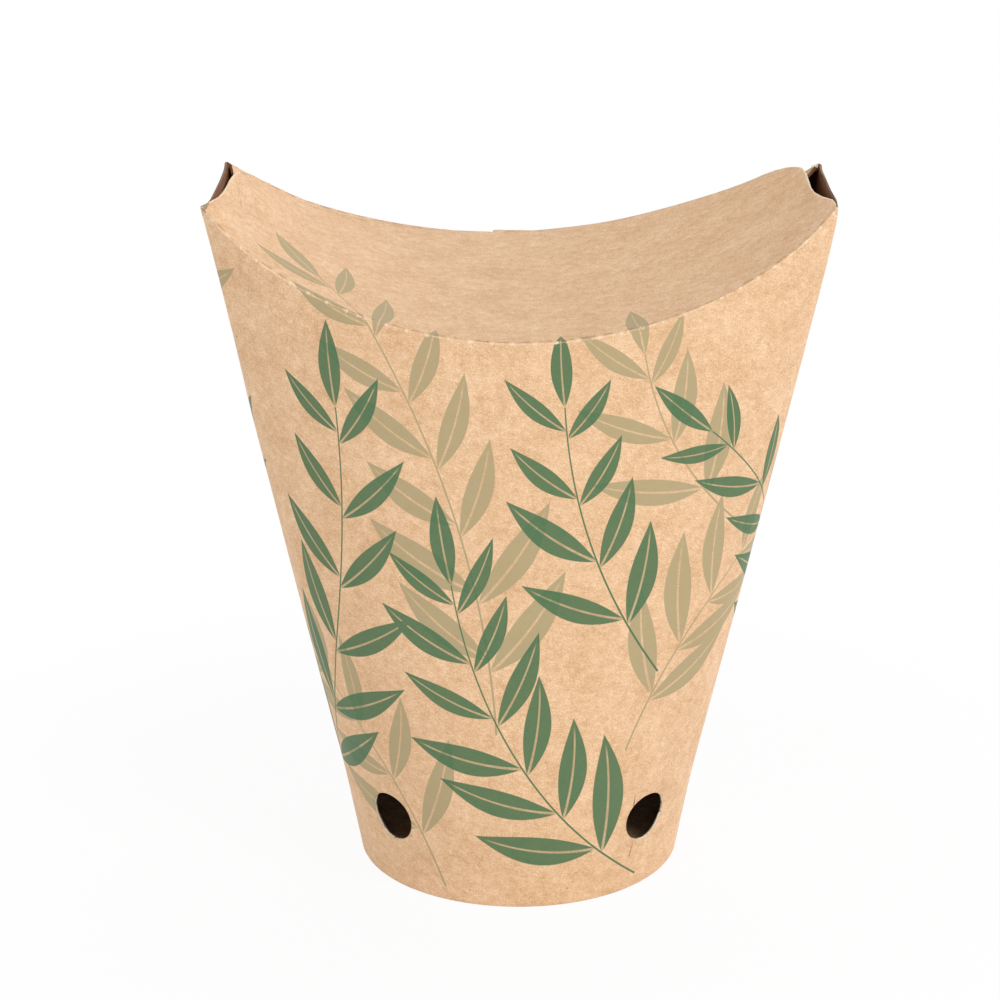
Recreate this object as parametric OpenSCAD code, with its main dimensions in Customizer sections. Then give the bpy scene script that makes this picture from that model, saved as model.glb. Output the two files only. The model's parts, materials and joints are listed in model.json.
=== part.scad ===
// Paper fry cup with a closed scoop mouth.
// The wall is one folded board: a round foot with a rolled hem, a flattened mouth, and a front
// and a back flap that fold in over curved creases. A pressed base disc is held in the hem.
// The cup stands on z = 0, its front faces -Y and its mouth is widest along X.

/* [Board] */
// Thickness of the wall board
board = 0.42; // [0.3:0.02:0.6]
// Thickness of the base board
base_board = 0.4; // [0.3:0.02:0.6]
// Clear space between two layers of board
play = 0.08; // [0.05:0.01:0.15]

/* [Foot] */
// Outer diameter of the foot
foot_d = 60; // [50:1:72]
// Outward lean of the round foot, in degrees
foot_lean = 9.5; // [6:0.5:12]
// Height of the hem that is rolled in behind the base skirt
hem_h = 6.4; // [5:0.2:9]
// Radius of the pressed corners of the rolled edge
roll_r = 0.3; // [0.2:0.05:0.45]
// Height over which the round foot eases into the flattened wall
shoulder_h = 14; // [4:0.5:20]

/* [Base disc] */
// Space between the top of the hem and the underside of the base
base_clear = 0.5; // [0.3:0.1:1.5]
// Outer radius of the bend between base and skirt
base_bend = 0.9; // [0.7:0.1:1.4]
// Space between the lower edge of the skirt and the fold of the hem
skirt_clear = 0.5; // [0.3:0.1:1.5]

/* [Vents] */
// Diameter of each steam vent
vent_d = 9.6; // [6:0.2:11]
// Height of the vent centres above the table
vent_z = 15.2; // [13.6:0.2:30]
// Angle of each vent from the front or back middle, in degrees
vent_angle = 45; // [35:1:50]

/* [Mouth] */
// Height of the four corners of the mouth
mouth_h = 130; // [110:1:160]
// Width across the two front corners
front_w = 112.8; // [100:0.5:124]
// Width across the two back corners
back_w = 108.6; // [98:0.5:120]
// Depth of each open side, from front corner to back corner
side_gap = 29.2; // [24:0.5:36]
// Depth by which each mouth arc bows out past its corners
arc_bow = 18.8; // [12:0.2:22]
// Half width of the ellipse of an arc, as a share of half the arc's width
arc_share = 1.1; // [1.06:0.01:1.3]
// Bend radius of the wall at the four corners
corner_r = 1.2; // [1:0.1:2]

/* [Creases and flaps] */
// Tilt of the plane in which each crease lies, in degrees
crease_tilt = 45.75; // [38:0.25:52]
// How far the front flap stops short of the back crease, at its middle
front_short = 2.6; // [2:0.2:8]
// How far the closed front flap is turned, in degrees
front_turn = 2.6; // [0:0.1:3.2]
// How far the right half of the front flap springs up
front_spring = 2.2; // [0:0.1:3]
// How far the back flap stops short of the front crease
back_short = 5; // [4:0.5:12]
// Distance from the end of the crease to the side edge of the flap
side_in = 0.7; // [0.6:0.1:1.6]
// Length of the side edge that runs along the side wall, before its notch
side_l = 5.4; // [3:0.2:8]
// How much the flap narrows on each side over that length
side_taper = 0.25; // [0.15:0.05:0.5]
// Length of each end notch, along the depth of the cup
notch_l = 21.6; // [15:0.3:24]
// Depth of each end notch, towards the middle of the flap
notch_d = 3.0; // [2:0.1:3.6]
// Radius of the flap corners
tip_r = 5.5; // [2:0.25:7]
// Clear space between the two closed flaps
flap_clear = 0.14; // [0.1:0.02:0.4]

/* [Back seam] */
// Width of the glued lap
lap_w = 8; // [5:0.5:12]
// Place of the lap's outer edge, to the left of the middle as seen from the front
seam_x = 5.5; // [3:0.5:9]
// Width over which the outer layer climbs onto the inner one
ramp_w = 4; // [2:0.5:6]

/* [Hidden] */
$fn = 96;
kraft = [0.86, 0.7, 0.52];
kraft_base = [0.8, 0.66, 0.5];
foot_r = foot_d / 2;
// Depths through the three layers of the foot, from the outer face towards the axis
skirt_depth = board + play;
hem_depth = skirt_depth + base_board + play;
foot_depth = hem_depth + board;
skirt_z = board + skirt_clear;
base_top = hem_h + base_clear + base_board;
// The foot cone ends at shoulder_low and the straight rulings of the wall start at shoulder_top
shoulder_low = base_top + play;
shoulder_mid = shoulder_low + shoulder_h / 2;
shoulder_top = shoulder_low + shoulder_h;
shoulder_steps = 3;
wall_rows = [for (i = [0:shoulder_steps]) shoulder_low + shoulder_h * i / shoulder_steps];
half_gap = side_gap / 2;
crease_slope = tan(crease_tilt);
// Each arc is the middle part of an ellipse, out to this angle of the ellipse
arc_end = asin(1 / arc_share);
arc_b = arc_bow / (1 - cos(arc_end));
arc_steps = 44;
corner_steps = 4;
notch_steps = 9;
flap_rows = 4;
tiny = 0.0001;
grid = 0.0001;
far = 1000;
// The front flap's right half rises over spring_rise and is held down again from spring_fall out
spring_rise = 42;
spring_fall = 44;
spring_held = 0.8;

function unit(v) = v / norm(v);
function mix(a, b, t) = a + (b - a) * t;
function ease(t) = let (c = min(1, max(0, t))) c * c * (3 - 2 * c);
function half_turn(p, on) = on ? [-p.x, -p.y, p.z] : p;

// Level direction that the wall faces where it heads along angle a in plan
function facing(a) = [sin(a), -cos(a), 0];
function arc_heading(w, x) = atan(arc_b * tan(asin(x / (w * arc_share))) / (w * arc_share));
// Half width of an arc, so that the corner bend reaches the full width of the mouth
function arc_w(mouth_w) = mouth_w / 2 - corner_r * (1 - sin(arc_heading(mouth_w / 2, mouth_w / 2)));
function arc_point(w, x) = let (share = sqrt(1 - pow(x / (w * arc_share), 2)))
    [x, -half_gap - arc_b * (share - cos(arc_end)), mouth_h];

// The wall's outer face: a cone at the foot, then straight rulings from the knee to the mouth
function foot_point(a, z) = facing(a) * (foot_r + z * tan(foot_lean)) + [0, 0, z];
function ruling(t, a, z) =
    mix(foot_point(a, shoulder_mid), t, (z - shoulder_mid) / (mouth_h - shoulder_mid));
function ruling_lean(t, a) =
    atan((t - foot_point(a, shoulder_mid)) * facing(a) / (mouth_h - shoulder_mid));
function shoulder(z) = min(1, max(0, (z - shoulder_low) / shoulder_h));
function wall_lean(t, a, z) = mix(foot_lean, ruling_lean(t, a), shoulder(z));
function wall_face(t, a, z) = let (s = shoulder(z))
    s <= 0 ? foot_point(a, z) :
    s >= 1 ? ruling(t, a, z) :
    foot_point(a, shoulder_low) * pow(1 - s, 2) + foot_point(a, shoulder_mid) * 2 * s * (1 - s)
        + ruling(t, a, shoulder_top) * pow(s, 2);
function wall_point(t, a, z, depth) = wall_face(t, a, z) - facing(a) * depth / cos(wall_lean(t, a, z));
function wall_normal(t, a) = let (lean = ruling_lean(t, a)) facing(a) * cos(lean) - [0, 0, sin(lean)];

// A crease is where the rulings of an arc meet its tilted plane, which passes through the corners
function crease_z(t, a) =
    let (knee = foot_point(a, shoulder_mid), run = (t.y - knee.y) / (mouth_h - shoulder_mid))
    (mouth_h + crease_slope * (knee.y - run * shoulder_mid + half_gap)) / (1 - crease_slope * run);
function crease_point(w, x) = let (t = arc_point(w, x), a = arc_heading(w, x)) ruling(t, a, crease_z(t, a));
function crease_run(w, x) = let (e = w / 200)
    unit(crease_point(w, min(w, x + e)) - crease_point(w, max(-w, x - e)));

front_half = arc_w(front_w);
back_half = arc_w(back_w);
// Side edge of a flap of half width w in plan, from its crease over the side edge and the notch
function notch_x(w) = w - side_in - side_taper;
function tip_x(w) = notch_x(w) - notch_d;
function side_edge(w, start_y) = concat(
    [[notch_x(w) + side_taper, start_y], [notch_x(w) + side_taper / 2, start_y + side_l / 2]],
    [for (i = [0:notch_steps]) let (s = i / notch_steps)
        [notch_x(w) - notch_d * (1 - pow(1 - s, 2)), start_y + side_l + notch_l * s]]);
// Stations across an arc: the bare end, the side edge and the long middle, in equal turns of the ellipse
function station_x(w) = let (mid = asin(tip_x(w) / (w * arc_share)))
    concat(
        [w, w - side_in / 2],
        [for (p = side_edge(w, 0)) p.x],
        [for (i = [1:arc_steps / 2]) w * arc_share * sin(mid * (1 - 2 * i / arc_steps))]);
function arc_stations(w) = let (half = station_x(w), n = len(half))
    concat([for (i = [0:n - 1]) -half[i]], [for (i = [n - 2:-1:0]) half[i]]);
function crease_table(w, axis) =
    [for (x = arc_stations(w)) let (p = crease_point(w, x)) [p.x, p[axis]]];
front_y = crease_table(front_half, 1);
front_z = crease_table(front_half, 2);
back_y = crease_table(back_half, 1);
back_z = crease_table(back_half, 2);

// The lap of the back seam: how far each face steps out, as a share of the board
lap_end = -seam_x + lap_w;
function lap_out(x) = x < -seam_x ? 0 : x <= lap_end ? 1 : max(0, 1 - (x - lap_end) / ramp_w);
function lap_in(x) = x <= lap_end ? 0 : max(0, 1 - (x - lap_end) / ramp_w);
// Space from the top of the back flap to the top of the front flap, with a rise over the lap
function lap_rise(x) = 1 - ease((abs(x + seam_x - lap_w / 2) - lap_w / 2 - ramp_w / 2) / (2 * lap_w));
function flap_space(x) = let (run = crease_run(front_half, x))
    (board + flap_clear) * norm([run.x, run.z]) / run.x + board * lap_rise(x);
function spring(x) = front_spring * ease((x + seam_x) / spring_rise)
    * (1 - spring_held * ease((x - spring_fall) / (front_half - spring_fall)));

// Free end of a flap of half width w at x: y_near is its own crease, y_far the one it closes against
function side_end(x, w, y_near) = abs(x) <= tip_x(w) ? far :
    lookup(abs(x), side_edge(w, lookup(w - side_in, y_near)));
function tip_drop(x, w) = let (u = min(tip_r, max(0, abs(x) - tip_x(w) + tip_r)))
    tip_r - sqrt(tip_r * tip_r - u * u);
function flap_end(x, w, y_near, y_far, short, turn) = min(
    -lookup(x, y_far) - short + x * tan(turn) - tip_drop(x, w), side_end(x, w, y_near));
function front_top(x, y) =
    let (s = (y - lookup(x, front_y)) / (-lookup(x, back_y) - lookup(x, front_y)))
    mix(lookup(x, front_z), lookup(x, back_z) + flap_space(x), s) + spring(x) * pow(s, 2);
function back_top(x, y) =
    let (s = (y - lookup(x, back_y)) / (-lookup(x, front_y) - lookup(x, back_y)))
    mix(lookup(x, back_z), lookup(x, front_z) - flap_space(-x), s);

// The closed section of the sheet at one column, from the hem over the wall to the flap and back.
// t: mouth point, a: heading, top: point of the crease or bare edge, fold: its mitre direction,
// flap: points along the top face of the flap, n: its normal, out and in: steps of the lap
function section(t, a, top, fold, flap, n, out, in) = concat(
    [wall_point(t, a, hem_h, foot_depth + board * out),
        wall_point(t, a, roll_r, foot_depth),
        wall_point(t, a, roll_r * 0.3, foot_depth - roll_r * 0.3),
        wall_point(t, a, 0, foot_depth - roll_r),
        wall_point(t, a, 0, roll_r),
        wall_point(t, a, roll_r * 0.3, roll_r * 0.3),
        wall_point(t, a, roll_r, 0)],
    [for (z = wall_rows) wall_point(t, a, z, -board * out)],
    [top + fold * board * out],
    [for (p = flap) p + n * board * out],
    [for (i = [len(flap) - 1:-1:0]) flap[i] - n * board * (1 - in)],
    [top - fold * board * (1 - in)],
    [for (i = [len(wall_rows) - 1:-1:0]) wall_point(t, a, wall_rows[i], board * (1 - in))],
    [wall_point(t, a, board, board),
        wall_point(t, a, board, hem_depth),
        wall_point(t, a, hem_h, hem_depth + board * in)]);

function bare_section(t, a) = let (n = wall_normal(t, a))
    section(t, a, t, n, [for (i = [1:flap_rows]) t], n, 0, 0);

function arc_section(w, x, back, out, in) =
    let (
        t = arc_point(w, x),
        a = arc_heading(w, x),
        top = crease_point(w, x),
        side = wall_normal(t, a),
        end = back
            ? flap_end(top.x, w, back_y, front_y, back_short, 0)
            : flap_end(top.x, w, front_y, back_y, front_short, front_turn),
        bare = abs(x) >= w - side_in,
        ys = [for (i = [1:flap_rows]) mix(top.y, end, i / flap_rows)],
        flap = [for (y = ys) bare ? top : [top.x, y, back ? back_top(top.x, y) : front_top(top.x, y)]],
        across = bare ? [0, 1, 0] : unit(flap[flap_rows - 1] - top),
        run = crease_run(w, x),
        n = unit(cross(run, across)),
        square = (side + n) / (1 + side * n),
        mitre = square + run * (n.x - square.x) / run.x,
        fold = bare ? mix(mitre, side, (abs(x) - w + side_in) / side_in) : mitre)
    [for (p = section(t, a, top, fold, flap, bare ? fold : n, out, in)) half_turn(p, back)];

// Corner bends and the flat side between them, for the right side; the left side mirrors it
function bend_centre(w, back) = let (a = arc_heading(w, w), p = arc_point(w, w) - facing(a) * corner_r)
    back ? [p.x, -p.y, p.z] : p;
front_bend = bend_centre(front_half, false);
back_bend = bend_centre(back_half, true);
side_heading = atan2(back_bend.y - front_bend.y, back_bend.x - front_bend.x);
front_heading = arc_heading(front_half, front_half);
back_heading = 180 - arc_heading(back_half, back_half);
function bend_point(centre, a) = centre + facing(a) * corner_r;
right_side = concat(
    [for (i = [1:corner_steps]) let (a = mix(front_heading, side_heading, i / corner_steps))
        bare_section(bend_point(front_bend, a), a)],
    [for (i = [0:corner_steps - 1]) let (a = mix(side_heading, back_heading, i / corner_steps))
        bare_section(bend_point(back_bend, a), a)]);
left_side = [for (i = [len(right_side) - 1:-1:0]) [for (p = right_side[i]) [-p.x, p.y, p.z]]];

// Back stations run from right to left in the world, so their own x is the world's turned round.
// The two edges of the lap each take two columns, one before and one after the step
lap_edges = [seam_x, seam_x - lap_w];
back_mid = [for (x = arc_stations(back_half))
    if (abs(x - seam_x + lap_w / 2) > lap_w / 2 + tiny) x];
function by_place(list) = len(list) <= 1 ? list :
    let (pivot = list[floor(len(list) / 2)])
    concat(by_place([for (c = list) if (c[0] < pivot[0]) c]), [for (c = list) if (c[0] == pivot[0]) c],
        by_place([for (c = list) if (c[0] > pivot[0]) c]));
back_columns = by_place(concat(
    [for (x = back_mid) [x, x, lap_out(-x), lap_in(-x)]],
    [[lap_edges[0], lap_edges[0], 1, 0], [lap_edges[0] + tiny, lap_edges[0], 0, 0]],
    [[lap_edges[1], lap_edges[1], 1, 0], [lap_edges[1] - tiny, lap_edges[1], 1, 1]],
    [[lap_edges[1] - ramp_w, lap_edges[1] - ramp_w, 0, 0]]));

columns = concat(
    [for (x = arc_stations(front_half)) arc_section(front_half, x, false, 0, 0)],
    right_side,
    [for (c = back_columns) arc_section(back_half, c[1], true, c[2], c[3])],
    left_side);

// The closed skin over all columns. Points are rounded to one grid, so that those of neighbouring
// columns that fall together are equal, and the empty triangles between them are left out
module sheet(columns) {
    n = len(columns[0]);
    points = [for (c = columns, p = c) [for (v = p) round(v / grid) * grid]];
    corners = [for (j = [0:len(columns) - 1], i = [0:n - 1])
        let (k = (j + 1) % len(columns), m = (i + 1) % n)
        each [[j * n + i, j * n + m, k * n + m], [j * n + i, k * n + m, k * n + i]]];
    faces = [for (f = corners) let (a = points[f[0]], b = points[f[1]], c = points[f[2]])
        if (a != b && b != c && c != a) f];
    polyhedron(points, faces);
}

// A vent is punched square to the wall, where the wall faces the vent's angle
module vent(w, back) {
    ellipse_angle = atan(tan(vent_angle) * w * arc_share / arc_b);
    t = arc_point(w, w * arc_share * sin(ellipse_angle));
    for (side = [-1, 1])
        rotate([0, 0, back ? 180 : 0])
            mirror([side < 0 ? 1 : 0, 0, 0])
                translate(wall_face(t, vent_angle, vent_z))
                    rotate([0, 0, vent_angle])
                        rotate([90 + wall_lean(t, vent_angle, vent_z), 0, 0])
                            cylinder(d = vent_d, h = vent_d, center = true);
}

module cup_wall() {
    color(kraft)
        difference() {
            sheet(columns);
            vent(front_half, false);
            vent(back_half, true);
        }
}

// The base is pressed from a round blank: a flat floor and a skirt that leans with the foot
module base_disc() {
    lean = foot_lean;
    outer = function (z) foot_r + z * tan(lean) - skirt_depth / cos(lean);
    inner = function (z) outer(z) - base_board / cos(lean);
    bend_in = base_bend - base_board;
    bend_z = base_top - base_bend;
    bend_x = outer(bend_z) - base_bend;
    steps = 6;
    color(kraft_base)
        rotate_extrude()
            polygon(concat(
                [[0, base_top - base_board], [0, base_top]],
                [for (i = [0:steps]) [bend_x, bend_z]
                    + base_bend * [sin(90 * i / steps), cos(90 * i / steps)]],
                [[outer(skirt_z), skirt_z], [inner(skirt_z), skirt_z]],
                [for (i = [steps:-1:0]) [bend_x, bend_z]
                    + bend_in * [sin(90 * i / steps), cos(90 * i / steps)]]));
}

cup_wall();
base_disc();
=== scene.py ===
# A closed kraft paper fry cup: one folded printed wall and a pressed base disc
import json
from math import cos, pi, radians, sin

import bpy
import numpy as np
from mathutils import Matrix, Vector
from mathutils.kdtree import KDTree

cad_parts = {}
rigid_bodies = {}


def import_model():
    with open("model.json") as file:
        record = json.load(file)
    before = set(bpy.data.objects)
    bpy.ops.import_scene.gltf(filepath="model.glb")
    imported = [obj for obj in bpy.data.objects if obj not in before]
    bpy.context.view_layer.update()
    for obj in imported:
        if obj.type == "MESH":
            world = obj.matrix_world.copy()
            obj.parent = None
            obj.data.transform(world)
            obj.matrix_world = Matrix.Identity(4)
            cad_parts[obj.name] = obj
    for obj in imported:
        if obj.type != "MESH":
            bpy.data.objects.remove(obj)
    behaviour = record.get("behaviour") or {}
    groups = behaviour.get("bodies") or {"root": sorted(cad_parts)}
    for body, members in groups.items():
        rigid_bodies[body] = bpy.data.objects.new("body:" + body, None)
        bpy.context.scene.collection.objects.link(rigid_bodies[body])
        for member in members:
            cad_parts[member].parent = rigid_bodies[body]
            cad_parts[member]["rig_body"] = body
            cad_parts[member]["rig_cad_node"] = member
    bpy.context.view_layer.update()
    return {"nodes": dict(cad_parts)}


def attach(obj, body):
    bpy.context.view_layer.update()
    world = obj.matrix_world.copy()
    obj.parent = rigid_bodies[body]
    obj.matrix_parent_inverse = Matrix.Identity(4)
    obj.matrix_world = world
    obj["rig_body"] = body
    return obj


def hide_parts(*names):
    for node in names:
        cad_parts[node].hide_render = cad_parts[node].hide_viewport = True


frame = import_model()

MM = 0.001
TO_RIGHT, TO_BACK, UPWARDS = (1, 0, 0), (0, 1, 0), (0, 0, 1)
TO_FRONT, DOWNWARDS = (0, -1, 0), (0, 0, -1)

# Merging and smoothing of the folded wall, in metres and radians
MERGE = 0.003 * MM
SLIVER = 0.03 * MM
PAIR_ANGLE = radians(1)
SKIN_ANGLE = radians(35)
SMOOTH_ANGLE = radians(55)
FACING = 0.6

# Its rounded folds, and its rows of cuts with where they end
FOLD_R = 0.34 * MM
FOLD_SEGMENTS = 4
FOLD_END = 53.2 * MM
FOLD_STEP = 0.55 * MM
ROW = 1.25 * MM
TURN = radians(2)
CORNER_ROW = 1.2 * MM
LINING_ROW = 2.5 * MM
CUP_H = 131 * MM
CUP_HALF_W = 57 * MM
FLAP_HALF_D = 34 * MM
SIDE_HALF_D = 14.4 * MM
CORNER_END = 4 * MM
LINING_LOW = 88 * MM
HEM_TOP = 7 * MM

# Which skin of the board a face belongs to
EDGE, WALL, FRONT_FLAP, BACK_FLAP, FOLD, LINING, FRONT_LINING, BACK_LINING = range(8)

# A point by each skin, in millimetres, and the way the skin faces there
SKIN_SEEDS = (
    (LINING, (0, -34, 40), TO_BACK),
    (LINING, (0, 34, 40), TO_FRONT),
    (WALL, (0, -34, 60), TO_FRONT),
    (WALL, (0, 34, 60), TO_BACK),
    (FRONT_LINING, (0, -32, 110), DOWNWARDS),
    (FRONT_FLAP, (0, -32, 112), UPWARDS),
    (BACK_LINING, (-30, 9, 108), DOWNWARDS),
    (BACK_FLAP, (-30, 9, 108), UPWARDS),
    (BACK_LINING, (30, 9, 108), DOWNWARDS),
    (BACK_FLAP, (30, 9, 108), UPWARDS))

# From here on, sizes and places are in millimetres.
# The closed rings of the wall, below the lowest point of the creases, and the place of its lap
LEVELS = np.arange(7.5, 101, 5)
RING_GAP = 0.01
LAP_EDGE = -5.5
GIRTH_STEPS = 433

# Perforation along each fold: pitch, how far a tie stands out and a cut sinks, and where the
# tie fades and the cut sets in, in pitches from the middle of the tie
NICK_PITCH = 3.75
TIE_HEIGHT = 0.07
TIE_EDGE = 0.05, 0.14
CUT_DEPTH = 0.05
CUT_EDGE = 0.16, 0.24
FOLD_REACH = 5
RIDGE_STEP = 0.05

# Bright rim along the front flap's cut side edges
RIM_FROM_X = 50.9
RIM_FROM_Y = -15
RIM_MARGIN = 5
RIM_STEPS = 20

# The distance that stands for no fold or rim nearby
FAR = 99.0

# Rounding of the foot between its facets: full up to one height, none from the next
ROUND_FULL, ROUND_NONE = 55, 80
SHARP_TURN = radians(20)
STRAIGHT_TURN = radians(0.4)
SHORT_STEP = 0.05
SWELL_STEPS = 1441

# How the closed cup's ends have settled. Each pair of rows is places and shifts, and each pair
# of numbers is where a shift sets in and where it is whole.
# The sides bulge a little between foot and mouth, by height
BULGE_RIGHT = (0, 9, 50, 90, 119, 127, 130), (0.05, 0.2, 0.6, 0.75, 0.62, 0.4, 0)
BULGE_LEFT = (0, 9, 50, 90, 119, 130), (0, -0.2, -0.45, -0.35, -0.1, 0)
HALF_WIDTHS = (0, 130), (30, 56.4)
# The top edge of each side wall bows, and sinks under the front flap, by depth
SIDE_LEFT = (
    (-14.6, -13.7, -10.5, -4, 2.6, 9.2, 12.4, 14.6),
    (0, 0.36, 1.36, 1.33, 1.23, 0.96, 0.64, 0.37))
SIDE_RIGHT = (-14.6, -10.5, -4, 2.6, 9.2, 12.4, 14.6), (0, 0.3, 0.2, 0.4, 0.75, 1, 1.35)
SIDE_SUNK = (-14.6, -13.6, -11.6, -10.4), (0, -0.35, -0.35, 0)
SIDE_LOW, SIDE_HIGH = 88, 130
SIDE_POWER = 1.5
SUNK_BAND = 2
SIDE_ENDS = 40, 50
# The side edges of the back flap slant, by depth
BACK_LEFT = (-12, 5, 9.3, 15.4), (0.8, 1.1, 1.1, 0.37)
BACK_RIGHT = (-12, 5, 9.3, 15.4), (-0.7, -0.75, -0.75, 1.35)
BACK_ENDS = 44, 52
# The side edges of the front flap reach over the ends of the side walls, by depth
FRONT_LEFT = (
    (-15.4, -14.5, -11, -9.3, -5.3, -1.5, 3, 6, 8),
    (0, -1.03, 0.38, 0.85, 0.3, 0, -0.15, -0.5, 0))
FRONT_RIGHT = (-15.4, -14.5, -9.3, -5, -1.5, 3, 9, 13), (0, 1, 0.66, 0.2, -0.4, -0.45, -0.2, 0)
FRONT_UP = (-15.4, -14.5, -11, -9.3, -5), (0, 0.9, 0.68, 0.5, 0)
FRONT_ENDS = 51, 54.5
# Rise of the back corners, left and right, by place across
BACK_RISE = (-54, -53, -46, -40, 42, 50, 53.2, 53.9), (0, 0.4, 0.4, 0, 0, 0.2, 0.2, -0.45)
RISE_REAR = 2, 12
# The far left corner of the front flap reaches further back and up
CORNER_BACK, CORNER_UP = 2.6, 0.7
CORNER_LEFT = 43, 50
CORNER_REAR = 0, 9

# Cut edges that aren't plain: the back flap's ends in the open rear corners, painted dark as shade,
# the webs of the folded front corners, painted pale as light on faces in shade, and the top of each side
# wall, painted darker as shade
SHADED_END_X, SHADED_END_Y, SHADED_END_LOW = 53, 11, 126
SHADED_END_HALF_W, SHADED_END_HALF_D = 0.7, 2.6
LIT_WEB_REAR, LIT_WEB_LOW = -12, 127
SHADED_RIM_LOW = 129
SHADED_RIM_X, SHADED_RIM_FRONT, SHADED_RIM_SLANT = 55.4, -14, 0.06

# The printed sprigs on the flat board: u runs round the cup from the middle of the front,
# v runs up it. Each has a tone, two ends, a bow, pairs of leaves and a leaf length.
SPRIGS = (
    ("dark", (24, 3), (-12, 65), 7, 6, 24),
    ("dark", (-52, 8), (-33, 97), -7, 6, 23),
    ("dark", (70, 30), (35, 92), -6, 5, 21),
    ("dark", (26, 46), (8, 99), 4, 4, 21),
    ("dark", (-85, 8), (-62, 82), 6, 6, 22),
    ("dark", (88, 70), (120, 12), -6, 5, 22),
    ("dark", (-118, 30), (-96, 96), -5, 5, 21),
    ("pale", (-4, 36), (-36, 128), -7, 7, 23),
    ("pale", (20, 31), (57, 74), 5, 5, 23),
    ("pale", (43, 72), (22, 108), 4, 3, 21),
    ("pale", (-14, 3), (-45, 44), -4, 4, 22),
    ("pale", (-70, 30), (-66, 118), 6, 7, 22),
    ("pale", (78, 14), (98, 88), 5, 6, 22),
    ("pale", (-106, 10), (-124, 70), -5, 5, 22),
    ("pale", (118, 40), (92, 128), -5, 6, 22))

# Leaves: half width in lengths, tilt off the stem, bend in half widths, and how they shrink
# from the first pair on. The leaf at the tip is shorter, narrower and straighter.
LEAF_SLIM = 0.12
LEAF_TILT = radians(40)
LEAF_BEND = 0.35
LEAF_FIRST, LEAF_SHRINK = 1.08, 0.42
PAIR_STAGGER = 0.012
VARY_LENGTH, VARY_TILT, VARY_WIDTH = (0.9, 1.1), (-0.16, 0.12), (0.92, 1.1)
TIP_PAIR = 0.4
TIP_LENGTH, TIP_WIDTH, TIP_BEND = 0.72, 0.75, 0.15
STEM_HALF = 0.17
STEM_STEPS = 60
SPRIG_SEED = 7

# Turn of the board's fibres against the cup's middle line, and depth of its grain in metres
FIBRE_TURN = radians(24)
GRAIN_STRENGTH, GRAIN_DEPTH = 0.35, 0.05 * MM

# Studio, in metres: the floor, how far from the cup its shadow shows, how much it is lifted,
# the soft sky, the lamps with place, size and power, and the camera
FLOOR_R, FLOOR_INSET = 3, 2.2
SHADOW_R, SHADOW_END = 0.06, 0.16
SHADOW_LIFT = 0.93
WORLD_SOFT = 0.505
LAMPS = (
    ("key_lamp", (0.9, -0.9, 1.1), 0.8, 9.3),
    ("fill_lamp", (-0.9, -1.1, 0.35), 0.7, 4.5),
    ("low_lamp", (1.0, -0.6, 0.3), 0.5, 1.9),
    ("top_lamp", (0.1, 0.7, 1.5), 0.9, 3.4),
    ("side_lamp", (0.9, 0.7, 0.3), 0.9, 3))
LAMP_AIM = 0, 0, 0.06
CAMERA_AT = 0, -0.6683, 0.3230
CAMERA_TILT = radians(68.15)
LENS, SENSOR = 138.6, 36
SHIFT_X, SHIFT_Y = -0.0187, 0.0712


# Colours are written as on a screen, 0 to 255
def screen(red, green, blue):
    def linear(c):
        c /= 255
        return c / 12.92 if c <= 0.04045 else ((c + 0.055) / 1.055) ** 2.4
    return (linear(red), linear(green), linear(blue), 1)


KRAFT = screen(226, 185, 143)
KRAFT_DARK = screen(205, 160, 116)
KRAFT_PALE = screen(243, 208, 171)
# A near-white cream for the folded corner webs: painted light, as these faces lie in shade
LIT_CORNER_TONES = [screen(255, 228, 192)] * 3
KRAFT_SPECK = screen(140, 98, 62)
KRAFT_TORN = screen(250, 226, 194)
KRAFT_CUT = screen(150, 104, 62)
# The inner faces: kraft brown of the board, darkened well past its own tone as painted shade inside the
# closed cup
SHADED_LINING_TONES = screen(84, 44, 14), screen(102, 57, 22), screen(120, 72, 34)
EDGE_TONES = screen(244, 218, 184), screen(252, 234, 206), screen(255, 244, 224)
# The top cut edge of each side wall: greyish brown as painted shade
SHADED_RIM_TONES = screen(120, 94, 74), screen(142, 114, 92), screen(164, 134, 110)
BASE_TONES = screen(186, 140, 96), screen(208, 164, 120), screen(226, 188, 146)
INK_DARK = screen(62, 106, 66)
INK_PALE = screen(166, 152, 112)


# Small helpers for objects
def only(obj):
    bpy.ops.object.select_all(action="DESELECT")
    obj.select_set(True)
    bpy.context.view_layer.objects.active = obj


def copy_of(node, name):
    obj = frame["nodes"][node].copy()
    obj.data = obj.data.copy()
    obj.name = obj.data.name = name
    obj.parent = None
    obj.data.materials.clear()
    bpy.context.scene.collection.objects.link(obj)
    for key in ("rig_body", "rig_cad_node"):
        if key in obj:
            del obj[key]
    return obj


# One value of each item of a mesh, as rows of an array
def numbers(items, key, width, kind=float):
    flat = np.empty(len(items) * width, kind)
    items.foreach_get(key, flat)
    return flat.reshape(-1, width) if width > 1 else flat


# The skins of the folded wall, each spread from the face nearest to its seed
def face_near(mesh, point, facing):
    near = [p for p in mesh.polygons if p.normal.dot(facing) > FACING]
    return min(near, key=lambda p: (p.center - point).length).index


def select_skin(obj, point, facing):
    bpy.ops.object.mode_set(mode="EDIT")
    bpy.ops.mesh.select_mode(type="FACE")
    bpy.ops.mesh.select_all(action="DESELECT")
    bpy.ops.object.mode_set(mode="OBJECT")
    obj.data.polygons[face_near(obj.data, point, facing)].select = True
    bpy.ops.object.mode_set(mode="EDIT")
    bpy.ops.mesh.faces_select_linked_flat(sharpness=SKIN_ANGLE)
    bpy.ops.object.mode_set(mode="OBJECT")
    return numbers(obj.data.polygons, "select", 1, bool)


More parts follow.
